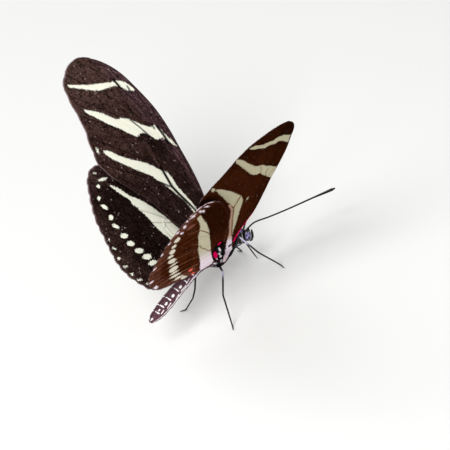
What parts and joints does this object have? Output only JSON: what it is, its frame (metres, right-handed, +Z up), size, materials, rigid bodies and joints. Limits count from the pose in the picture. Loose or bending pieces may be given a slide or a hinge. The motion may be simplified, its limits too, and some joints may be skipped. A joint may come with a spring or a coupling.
{
  "type": "butterfly model",
  "caption": "Still, life-size model of a black and cream striped longwing butterfly standing on its legs with wings half raised",
  "frame": {"origin": "on the floor under the middle of the model's bounding box", "axes": "+X to the butterfly's right, +Y the way its head points, +Z up"},
  "size_m": [0.0558, 0.0442, 0.0464],
  "materials": {
    "wing": "matt blackish brown scales with cream stripes",
    "body": "dark purplish brown hair with white spots",
    "eye": "glossy lilac grey with dark flecks",
    "horn": "satin black"
  },
  "bodies": {
    "root": {"abdomen": "body", "antenna_left": "horn", "antenna_right": "horn", "eye_left": "eye", "eye_right": "eye", "foreleg_left": "horn", "foreleg_right": "horn", "forewing_left": "wing", "forewing_right": "wing", "head": "body", "hindleg_left": "horn", "hindleg_right": "horn", "hindwing_left": "wing", "hindwing_right": "wing", "midleg_left": "horn", "midleg_right": "horn", "palp_left": "body", "palp_right": "body", "proboscis": "horn", "thorax": "body"}
  },
  "joints": []
}
